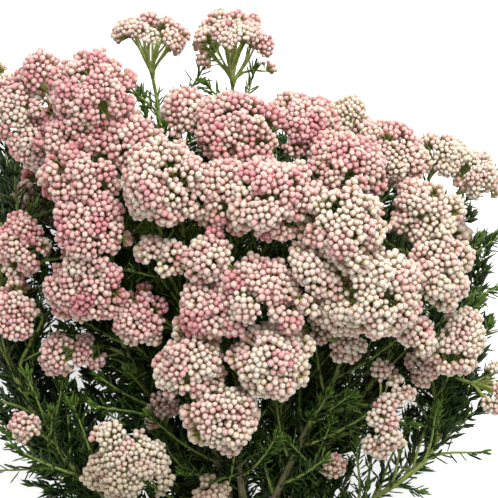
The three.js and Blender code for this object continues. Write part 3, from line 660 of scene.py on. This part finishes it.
def leaf_places(path, kind, random):
    """Where leaves grow on a twig: on a spiral of golden angles, one step apart. Towards the tip of a
    shoot they stand closer to its way, and are shorter and paler. Deep ones are longer and darker,
    partly as older leaves and partly as painted shade of the inner foliage."""
    _, _, _, _, step, (start, stop) = TWIGS[kind]
    tuft, deep = kind not in ("limb", "stalk"), kind == "deep"
    total = length_along(path)[-1]
    distance = np.arange(start, total - stop, step)
    if tuft:
        distance = np.concatenate([distance, total - TUFT])
    count = len(distance)
    distance = np.clip(distance + random.uniform(-STRAY, STRAY, count) * step, 0, total)
    root = at(path, distance)
    way = heading(path, distance)
    turn = (np.arange(count) * GOLDEN_ANGLE + random.uniform(-0.5, 0.5, count))[:, None]
    out = outwards(path, way, turn)
    young = tuft * np.exp(-(total - distance) / YOUNG)
    lean = (LEAF_LEAN * random.uniform(*LEAF_LEANS, count) * (1 - 0.55 * young))[:, None]
    length = LEAF_LENGTH * random.uniform(*LEAF_LENGTHS, count) * (1 + 0.15 * deep - 0.35 * young)
    # Deep leaves take a lower, darker tone: partly older leaves, partly painted shade inside the foliage.
    usual = 0.3 + 0.35 * (root[:, 1] > PALE_PAST) - 0.2 * deep
    tone = usual + 0.15 * random.standard_normal(count) + (0.6 - 0.35 * deep) * young
    return {
        "root": root, "way": np.cos(lean) * way + np.sin(lean) * out, "out": out, "length": length,
        "tone": np.clip(tone, 0, 1), "plain": (root[:, 2] < PLAIN_BELOW) | deep,
    }


def leaf_skin(places, t, width, random):
    """Needle leaves: a three-sided tube through points of the parabola root + length × (t × way
    + bend × t² × out), flattened, and drawn in to a point at both ends. A three-sided ring is one and
    a half times as wide as its radius."""
    count = len(places["length"])
    steps = np.array(t)[None, :, None]
    run = places["length"][:, None, None]
    bend = random.uniform(*LEAF_BEND, count)[:, None, None]
    way, out = places["way"][:, None], places["out"][:, None]
    paths = places["root"][:, None] + run * (steps * way + bend * steps**2 * out)
    tip, before_tip = paths[:, -1], paths[:, -2]
    in_buds = in_heads(tip, -0.0015) | in_heads(before_tip, -0.0015)
    dropped = in_open(tip) & (tip[:, 1] < 0.1) & (random.uniform(size=count) < OPEN_SHARE)
    keep = (paths[:, :, 2].min(axis=1) > 0.001) & ~in_buds & ~dropped & (np.abs(tip[:, 0]) < LEAF_REACH)
    radii = LEAF_WIDTH / 1.5 * random.uniform(*LEAF_WIDTHS, (count, 1)) * np.array([width])
    across = np.cross(places["way"], places["out"])[keep]
    tone = places["tone"][keep][:, None]
    return tubes(paths[keep], radii[keep], across, 3, tone, np.array([t]), flat=LEAF_FLATNESS)


def leaf_material():
    """Dark, slightly waxy green, with streaks along the leaf, a paler foot, and a yellower tip. The
    higher the tone, the younger and lighter the leaf."""
    material, n, shader = new_material("needle_leaf")
    tone = n.tone()
    group = n.add("ShaderNodeGroup", {"node_tree": fibres}, Round=2.0, Along=3.0, Mottle_Scale=240.0)
    streaks, mottle, along = group.outputs
    shade = n.stray(tone, mottle, 0.5)
    dark = n.fade(streaks, 0.3, 0.7, (18, 36, 10), (38, 64, 20))
    light = n.fade(streaks, 0.3, 0.7, (62, 94, 28), (108, 138, 52))
    colour = n.fade(shade, 0.15, 0.85, dark, light)
    colour = n.fade(along, 0.14, 0.0, colour, (118, 138, 62))
    colour = n.fade(along, 0.88, 1.04, colour, (112, 132, 52))
    rough = n.math("ADD", 0.36, n.math("MULTIPLY", streaks, 0.3))
    n.give(shader, Base_Color=colour, Roughness=rough, Normal=n.bump(0.4, 0.0002, streaks))
    n.give(shader, Specular_IOR_Level=0.22)
    return material


needle_leaf = leaf_material()

deep_places = deep_tips()

for number, (limb_name, limb) in enumerate(limb_paths.items()):
    random = np.random.default_rng(100 + number)
    last_head = LIMBS[limb_name][1]
    stalks = [
        twig_path(limb, foot_of(faces, domes), unit(faces))
        for head_name, (bearer, _, faces, domes) in HEADS.items()
        if bearer == limb_name and head_name != last_head
    ]
    sides = side_shoots(limb, "limb", random)
    for stalk in stalks:
        sides += side_shoots(stalk, "stalk", random)
    twigs = {
        "limb": [at(limb, np.linspace(STUB_LENGTH - 0.001, length_along(limb)[-1], 90))],
        "stalk": stalks,
        "shoot": [twig_path(limb, placed(tip)) for tip in SHOOT_TIPS[limb_name]],
        "side": sides,
        "deep": [twig_path(limb, tip, span=DEEP_LENGTH) for tip in deep_places[limb_name]],
    }
    wood = [wood_skins(paths, kind) for kind, paths in twigs.items() if paths]
    build_piece(f"twigs_{limb_name}", wood, bark, "bark")
    places = [leaf_places(path, kind, random) for kind, paths in twigs.items() for path in paths]
    together = {key: np.concatenate([p[key] for p in places]) for key in places[0]}
    plain = together.pop("plain")
    leaves = [
        leaf_skin({key: value[group] for key, value in together.items()}, *outline, random)
        for group, outline in ((~plain, OUTER_LEAF), (plain, PLAIN_LEAF))
        if group.any()
    ]
    build_piece(f"leaves_{limb_name}", leaves, needle_leaf, "leaf", f"leafy_branch_{limb_name}")


# Flower heads. Each is a domed cluster of small round buds in papery bracts, cream to pink. Green rays
# fork from the head's foot. Each ray bears a small dome of buds, and every bud has its own stalk.

BUD_RADIUS = (0.0021, 0.00142, 0.00186)  # by the height of the head's middle above the table
BUD_HEIGHTS = (0.060, 0.085, 0.160)
BUD_SIZES = (0.84, 1.24)
BUD_GAP = 1.92  # between the middles of neighbouring buds that touch, over their radius
BUD_LEAST_GAP = 1.54
BUD_STRAY = 0.2  # from its place, over its radius
BUD_SIDES = (5, 6)  # in heads that face the table, and in the others
# A bud's outline from the top down: radius and height, over the bud's radius. The stalk comes after.
BUD_OUTLINE = np.array([(0.0, 1.04), (0.66, 0.78), (1.0, -0.04), (0.3, -1.05)])
BUD_PARTS = np.array([[2.0, 1.0, 0.5, 0.2, 0.0]])  # from the stalk's root, by the neck, to the top
BUD_TONE, DOME_TONE = 0.17, 0.16  # how far tones differ in a small dome, and from one to the next

SMALL_RADIUS = 3.4  # of a small dome of buds, over the bud's radius
SMALL_MOST = 0.6  # the same at most, over the whole dome's radius
SMALL_SIZES = (0.62, 1.35)
SMALL_GAP = 2.11  # between the middles of neighbouring small domes, over their radius
SMALL_LEAN = math.radians(88)  # from the top of a small dome to its last buds
SMALL_ROOT = 0.75  # how deep under a small dome's middle its stalks start, over its radius
DOME_LEAN = math.radians(97)  # from the top of a dome to its rim
SIDEWAYS, SIDEWAYS_LEAN = 0.45, math.radians(80)  # the same for a head that is seen from the side
SKIRT_LEAN = math.radians(126)  # as far as small domes hang where another head is close
SKIRT_ROOM = 0.012
SWELL = 0.2  # height of the swells, over the dome's radius
SWELL_WAVES = 2.6  # radians by which a swell's cosine goes on in one radius
SUNK = (-0.2, 0.05)  # how far small domes sink at random, over the dome's radius
HEXAGON = 0.87  # room that a thing takes in a close-packed layer, over its spacing squared
LOOSE_HEAD = 0.0145  # a head whose first dome is smaller than this is a loose one
LOOSE_RADIUS = 2.5  # of its small domes, over the bud's radius
OPEN_HEADS = (
    "bottom_left", "bottom_edge_right", "top_left", "top_middle", "back_right", "sparse_left",
    "edge_upper_right", "edge_right", "deep_left", "small_left",
)
GAPS = {"full": 0.06, "open": 0.27, "loose": 0.5}  # share of small domes that are missing
HIDDEN_ROOM = 1.22  # times the room that a small dome has in a head that faces the table
RAY_RADIUS = (0.0010, 0.0006)
RAY_SIDES, RAY_RINGS = 4, 5
RAYS_APART = 6  # first forks of a head
RAY_LEAN = math.radians(62)


def spiral_cap(count, lean, random):
    """Points spread evenly over a ball's cap: heights in equal steps, each a golden angle further, from
    a first one at random."""
    height = 1 - (np.arange(count) + 0.5) / count * (1 - math.cos(lean))
    turn = np.arange(count) * GOLDEN_ANGLE + random.uniform(0, 6.3)
    ring = np.sqrt(1 - height**2)
    return np.stack([ring * np.cos(turn), ring * np.sin(turn), height], axis=1)


def axes_of(way):
    """For each direction, a matrix of rows: two directions square to it, and itself."""
    helper = np.where(np.abs(way[..., 2:]) < 0.8, (0.0, 0, 1), (1.0, 0, 0))
    across = unit(np.cross(helper, way))
    return np.stack([across, np.cross(way, across), way], axis=-2)


def small_domes(own, own_domes, way, bud, gaps, random):
    """The small domes of buds on one dome: their middles, the ways they face, and their radii. They lie
    on a spiral cap over it, each moved out or in to the heads' common surface, which is made to swell
    and sink as a few cosines of the direction. Those near the rim are smaller."""
    middle, radius = all_domes[own, :3], all_domes[own, 3]
    loose = all_domes[own_domes[0], 3] < LOOSE_HEAD
    usual = LOOSE_RADIUS * bud if loose else min(SMALL_RADIUS * bud, radius * SMALL_MOST)
    area = 2 * math.pi * radius**2 * (1 - math.cos(SKIRT_LEAN)) * 0.86
    room = HEXAGON * (SMALL_GAP * usual) ** 2 * (1 if way[2] > 0 else HIDDEN_ROOM)
    count = max(6, round(area / room))
    cap = spiral_cap(count, SKIRT_LEAN, random)
    cap = unit(cap + random.normal(0, 0.1, cap.shape))
    waves = SWELL_WAVES * cap @ unit(random.normal(size=(3, 4))) + random.uniform(0, 6.3, 4)
    swell = np.cos(waves).mean(axis=1)
    small = usual * random.uniform(*SMALL_SIZES, count) * (1 - 0.2 * (cap[:, 2] < 0.3))
    sunk = small * 0.8 + bud - radius * (SWELL * swell + random.uniform(*SUNK, count))
    way_out = unit((cap * (1, 1, DOME_FLATNESS)) @ axes_of(way))
    reach = np.full((count, 1), radius)
    for _ in range(6):
        outside, normals, nearest = head_surface(middle + way_out * reach)
        reach = np.clip(reach - (outside + sunk)[:, None], 0.25 * radius, 1.2 * radius)
    middles = middle + way_out * reach
    others = np.delete(all_domes, own_domes, axis=0)
    to_others = apart(middles, others[:, :3]) - others[:, 3]
    beside_another = (to_others < SKIRT_ROOM).any(axis=1)
    missing = (cap[:, 2] < 0.8) & (random.uniform(size=count) < (GAPS["loose"] if loose else gaps))
    rim = math.cos(SIDEWAYS_LEAN if 0 < way[2] < SIDEWAYS else DOME_LEAN)
    stay = ((cap[:, 2] > rim) | beside_another) & ~missing & (nearest == own)
    normals = unit(normals + random.normal(0, 0.2, normals.shape))
    return middles[stay], normals[stay], small[stay]


def buds_of(middle, normal, small, bud, random):
    """The buds of one small dome, on a spiral cap over it, with some a little higher than others."""
    area = 2 * math.pi * small**2 * (1 - math.cos(SMALL_LEAN)) * 0.92
    count = max(4, round(area / (HEXAGON * (BUD_GAP * bud) ** 2)))
    cap = spiral_cap(count, SMALL_LEAN, random)
    cap = cap * (1, 1, 0.95) * small * random.uniform(0.82, 1.1, (count, 1))
    return middle + cap @ axes_of(normal) + random.normal(0, BUD_STRAY * bud, cap.shape)


def settled(buds, fixed, gap):
    """Buds pushed apart, twice, by the nearest of each other and of some that stay where they are, by
    nearly a third of what each pair lacks to a gap."""
    crowd = np.concatenate([buds, fixed])
    near = np.argpartition(apart(buds, crowd), min(15, len(crowd) - 1), axis=1)[:, :16]
    for _ in range(2):
        offset = crowd[: len(buds), None] - crowd[near]
        distance = np.maximum(np.linalg.norm(offset, axis=2, keepdims=True), 1e-6)
        crowd[: len(buds)] += 0.3 * (offset * np.maximum(gap / distance - 1, 0)).sum(axis=1)
    return crowd[: len(buds)]


def thinned(buds, fixed, least):
    """Which buds stay when each one in turn is dropped if an earlier one that stays is nearer than
    least. Each round takes the last round's answer, and a dozen of them settle it."""
    near = np.tril(apart(buds, buds) < least, -1)
    keep = clear = apart(buds, fixed).min(axis=1, initial=1.0) > least
    for _ in range(12):
        keep = clear & ~(near & keep).any(axis=1)
    return keep


def bud_skin(buds, roots, bud, sides, tone, random):
    """A bud with its stalk: the outline carried round the line from the stalk's root to the bud, whose
    way is the bud's own axis. None reaches into the table."""
    size = bud * random.uniform(*BUD_SIZES, len(buds))
    axis = unit(buds - roots)
    buds = np.stack([buds[:, 0], buds[:, 1], np.maximum(buds[:, 2], size * 1.08)], axis=1)
    heights = BUD_OUTLINE[:, 1] * size[:, None]
    paths = buds[:, None] + heights[:, :, None] * axis[:, None]
    paths = np.concatenate([paths, roots[:, None]], axis=1)[:, ::-1]
    radii = (BUD_OUTLINE[1:, 0] * size[:, None])[:, ::-1]
    return tubes(paths, radii, axes_of(axis)[:, 0], sides, tone[:, None], BUD_PARTS)


def ray_skin(foot, way, radius, roots, random):
    """The rays: from the head's foot, by the nearest of its first forks, to the foot of a small dome,
    as one cubic curve. Rays that share a fork lie together up to it, as one thick stalk."""
    forks = spiral_cap(RAYS_APART, RAY_LEAN, random) @ axes_of(way)
    nearest = (unit(roots - foot) @ forks.T).argmax(axis=1)
    start, near = foot - way * 0.003, foot + way * radius * 0.16
    fork = foot + forks[nearest] * radius * 0.42
    t = np.linspace(0, 1, RAY_RINGS)[None, :, None]
    past_fork = (fork + (fork - near) * 0.25)[:, None]
    towards = 3 * t * (1 - t) ** 2 * near + 3 * t**2 * (1 - t) * past_fork
    paths = capped((1 - t) ** 3 * start + towards + t**3 * roots[:, None])
    radii = np.broadcast_to(np.linspace(*RAY_RADIUS, RAY_RINGS), (len(roots), RAY_RINGS))
    all_stalk = np.full((1, RAY_RINGS + 2), BUD_PARTS[0, 0])
    return tubes(paths, radii, least_spread(paths), RAY_SIDES, 0.5, all_stalk)


def bud_material():
    """Papery bracts, a little see-through, cream on top and pinker down the sides, by the bud's tone
    from 0 to 1, with the edges of overlapping scales. The sides are also darker than the top: painted
    shade, besides their own pinker hue. Towards the stem's foot the buds are duller and darker, which is
    painted shade where the light falls off. Past the neck it is a pale green stalk."""
    material, n, shader = new_material("bud")
    tone = n.tone()
    uv = n.add("ShaderNodeUVMap", {"uv_map": "UVMap"}).outputs[0]
    along = n.add("ShaderNodeSeparateXYZ", None, Vector=uv).outputs[1]
    place = n.add("ShaderNodeTexCoord").outputs["Object"]
    mottle = n.noise(place, 420.0, 3.0)
    patch = n.noise(place, 38.0, 2.0)
    shade = n.stray(tone, mottle, 0.45)
    shade = n.stray(shade, patch, 0.5)
    top = n.fade(shade, 0.05, 0.5, (229, 226, 213), (229, 207, 200))
    top = n.fade(shade, 0.45, 1.05, top, (215, 151, 160))
    # The side colours are darker than the top ones: painted shade on the buds' lower sides, on top of
    # their own pinker hue.
    side = n.fade(shade, 0.0, 0.5, (209, 191, 158), (208, 161, 149))
    side = n.fade(shade, 0.4, 1.05, side, (186, 108, 116))
    colour = n.fade(along, 0.08, 0.56, top, side)
    colour = n.fade(along, 0.7, 0.98, colour, (188, 184, 112))
    scales = n.add("ShaderNodeMapping", None, Vector=uv, Scale=(5.0, 7.0, 1.0)).outputs[0]
    to_edge = {"feature": "DISTANCE_TO_EDGE"}
    cells = n.add("ShaderNodeTexVoronoi", to_edge, Vector=scales, Scale=1.0).outputs[0]
    edge = n.ramp(cells, 0.12, 0.0)
    colour = n.mix(n.math("MULTIPLY", edge, 0.35), colour, (206, 150, 128))
    # Painted shade: towards the stem's foot, at low y, buds are mixed up to half way to a dull brown,
    # darker where the light falls off.
    painted_falloff_shade = n.ramp(n.add("ShaderNodeSeparateXYZ", None, Vector=place).outputs[1], 0.052, 0.018)
    colour = n.mix(n.math("MULTIPLY", painted_falloff_shade, 0.5), colour, (150, 134, 98))
    stalk = n.fade(mottle, 0.35, 0.65, (150, 168, 80), (194, 206, 132))
    colour = n.fade(along, 0.98, 1.04, colour, stalk)
    rough = n.math("ADD", 0.6, n.math("MULTIPLY", mottle, 0.25))
    relief = n.bump(0.35, 0.0002, n.ramp(cells, 0.0, 0.2))
    n.give(shader, Base_Color=colour, Roughness=rough, Normal=relief, Specular_IOR_Level=0.24)
    n.give(shader, Subsurface_Weight=0.25, Subsurface_Radius=(1.0, 0.5, 0.4), Subsurface_Scale=0.0012)
    return material


bud_finish = bud_material()

first_dome = 0
all_buds = np.zeros((0, 3))
for number, (head_name, (_, pinkness, faces, domes)) in enumerate(HEADS.items()):
    random = np.random.default_rng(500 + number)
    way = unit(faces)
    foot = foot_of(faces, domes)
    own_domes = range(first_dome, first_dome + len(domes))
    bud = float(np.interp(all_domes[first_dome, 2], BUD_HEIGHTS, BUD_RADIUS))
    gaps = GAPS["open" if head_name in OPEN_HEADS else "full"]
    rows, ray_ends = [], []  # a row has a bud's place, the root of its stalk, and its tone
    for own in own_domes:
        for middle, normal, small in zip(*small_domes(own, own_domes, way, bud, gaps, random)):
            buds = buds_of(middle, normal, small, bud, random)
            dome_tone = pinkness + DOME_TONE * random.standard_normal()
            tones = dome_tone + BUD_TONE * random.standard_normal((len(buds), 1))
            root = middle - normal * small * SMALL_ROOT
            rows.append(np.concatenate([buds, np.broadcast_to(root, buds.shape), tones], axis=1))
            ray_ends.append(root)
    rows = np.concatenate(rows)
    outermost_first = np.argsort(-np.linalg.norm(rows[:, :3] - foot, axis=1))
    rows = rows[outermost_first]
    # Buds of the heads before this one keep their places, and these give way to them.
    to_own = apart(all_buds, all_domes[own_domes, :3]) - all_domes[own_domes, 3]
    beside = all_buds[(to_own < SKIRT_ROOM).any(axis=1)]
    rows = rows[thinned(rows[:, :3], beside, 0.75 * BUD_LEAST_GAP * bud)]
    rows[:, :3] = settled(rows[:, :3], beside, BUD_GAP * bud)
    rows = rows[thinned(rows[:, :3], beside, BUD_LEAST_GAP * bud)]
    buds, springs, tones = rows[:, :3], rows[:, 3:6], np.clip(rows[:, 6], 0, 1)
    all_buds = np.concatenate([all_buds, buds])
    skins = [
        bud_skin(buds, springs, bud, BUD_SIDES[int(way[2] > 0)], tones, random),
        ray_skin(foot, way, domes[0][3] * MM, np.stack(ray_ends), random),
    ]
    build_piece(f"buds_{head_name}", skins, bud_finish, "bud", f"flower_head_{head_name}")
    first_dome += len(domes)


# The table, the light and the viewpoint. A near-white table top, which glows faintly so that shadows
# stay pale, a large soft lamp above the flowering end, a weaker one opposite, and a white room. The
# camera looks straight down from far enough to show the heads as the photo does.

TABLE_WIDTH = 40  # so wide that its edge is never seen
TABLE_GLOW = 0.6
ROOM_LIGHT = 0.42
# Each lamp's place, width, power in watts, and the point that it faces.
LAMPS = {
    "key_lamp": ((0.35, 1.2, 1.35), 0.9, 33, (0, 0.1, 0.1)),
    "fill_lamp": ((-0.5, -1.0, 1.2), 1.4, 6, (0, 0.15, 0.1)),
}
PICTURE_CENTRE = (0.004, 0.149)  # the point of the table that the camera is above
CAMERA_HEIGHT = 1.685
PICTURE_PLANE = 0.085  # height of the level at which the picture is this wide
PICTURE_WIDTH = 0.2789
SENSOR_WIDTH = 36.0  # millimetres, as the lens


def table_material():
    """Matt white board with the faintest mottling."""
    material, n, shader = new_material("table_top")
    grain = n.noise(n.add("ShaderNodeTexCoord").outputs["Object"], 60.0, 4.0)
    colour = n.mix(grain, (248, 248, 247), (253, 253, 252))
    n.give(shader, Base_Color=colour, Roughness=0.9, Specular_IOR_Level=0.1)
    n.give(shader, Emission_Color=colour, Emission_Strength=TABLE_GLOW)
    return material


bpy.ops.mesh.primitive_plane_add(size=TABLE_WIDTH, location=(0, 0, 0))
table = bpy.context.object
table.name = "table"
table.data.materials.append(table_material())


def soft_lamp(name, place, width, power, aim):
    """A square lamp that faces a point."""
    lamp = bpy.data.lights.new(name, "AREA")
    lamp.size = width
    lamp.energy = power
    holder = bpy.data.objects.new(name, lamp)
    holder.location = place
    holder.rotation_euler = (Vector(aim) - Vector(place)).to_track_quat("-Z", "Y").to_euler()
    bpy.context.scene.collection.objects.link(holder)


for lamp_name, settings in LAMPS.items():
    soft_lamp(lamp_name, *settings)

world = bpy.data.worlds.new("room")
world.use_nodes = True
background = world.node_tree.nodes["Background"].inputs
background["Color"].default_value = (1, 1, 1, 1)
background["Strength"].default_value = ROOM_LIGHT
bpy.context.scene.world = world
bpy.context.scene.view_settings.view_transform = "Standard"

camera = bpy.data.objects.new("camera", bpy.data.cameras.new("camera"))
camera.location = (*PICTURE_CENTRE, CAMERA_HEIGHT)
camera.data.sensor_width = SENSOR_WIDTH
camera.data.lens = SENSOR_WIDTH * (CAMERA_HEIGHT - PICTURE_PLANE) / PICTURE_WIDTH
camera.data.clip_end = 10
bpy.context.scene.collection.objects.link(camera)
bpy.context.scene.camera = camera
